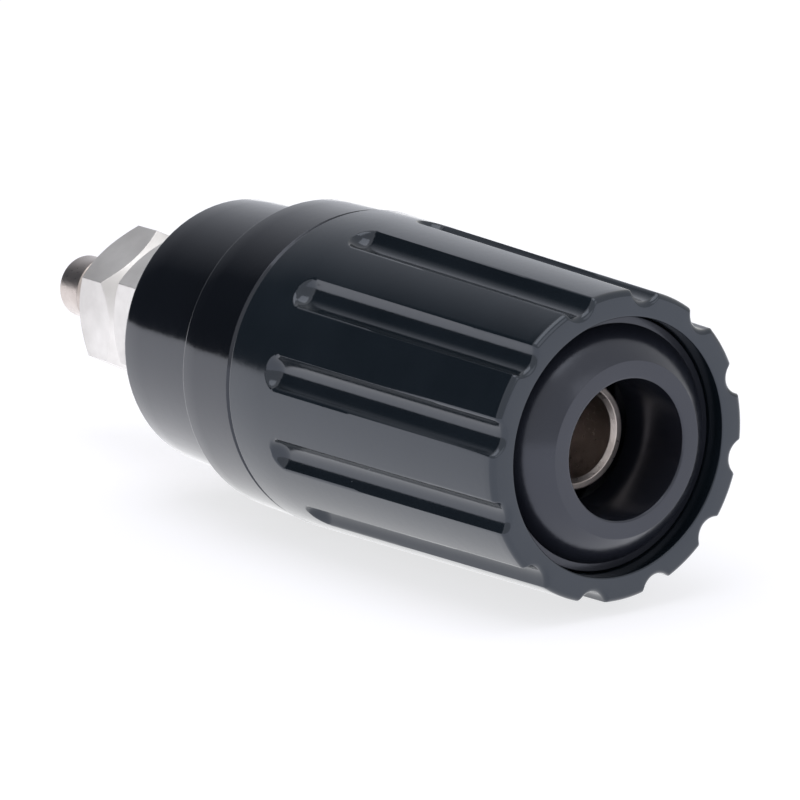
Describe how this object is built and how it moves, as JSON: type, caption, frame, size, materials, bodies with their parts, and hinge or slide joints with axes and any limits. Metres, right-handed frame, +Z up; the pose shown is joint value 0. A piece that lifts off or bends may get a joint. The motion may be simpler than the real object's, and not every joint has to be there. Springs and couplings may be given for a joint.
{
  "type": "binding post",
  "caption": "Insulated binding post for a panel: fluted black screw knob with a plug socket in its face, insulating collars, and a threaded stud with two hexagonal nuts at the rear.",
  "frame": {"origin": "on the post's axis, in the rear face of the front insulator, which seats on the front of the panel", "axes": "+Y along the stud, out of the back of the panel; -Y out of the plug socket; +Z up"},
  "size_m": [0.0153, 0.0447, 0.0152],
  "materials": {
    "black_knob": "gloss moulded",
    "black_insulator": "gloss moulded",
    "nickel_plate": "nickel plated, turned",
    "nickel_nuts": "nickel plated, barrelled",
    "turned_brass": "turned",
    "spring_steel": "dull"
  },
  "bodies": {
    "base": {"contact_post": "nickel_plate", "front_insulator": "black_insulator", "rear_bush": "black_insulator", "retaining_ring": "spring_steel", "plain_washer": "nickel_plate", "spring_washer": "nickel_plate", "nut_inner": "nickel_nuts", "nut_outer": "nickel_nuts"},
    "clamp_slide": {"thrust_washer": "nickel_plate"},
    "knob_body": {"knob": "black_knob", "knob_insert": "turned_brass", "front_ring": "black_knob"}
  },
  "joints": [
    {"name": "clamp_travel", "type": "slide", "parent": "base", "child": "clamp_slide", "axis": [0, -1, 0], "range_m": [0, 0.0045]},
    {"name": "knob_turn", "type": "hinge", "parent": "clamp_slide", "child": "knob_body", "pos_m": [0, -0.0047, 0], "axis": [0, -1, 0], "range_deg": [0, 2160]}
  ],
  "couplings": [
    {"joint": "clamp_travel", "follows": "knob_turn", "m_per_rad": 0.00011937}
  ]
}
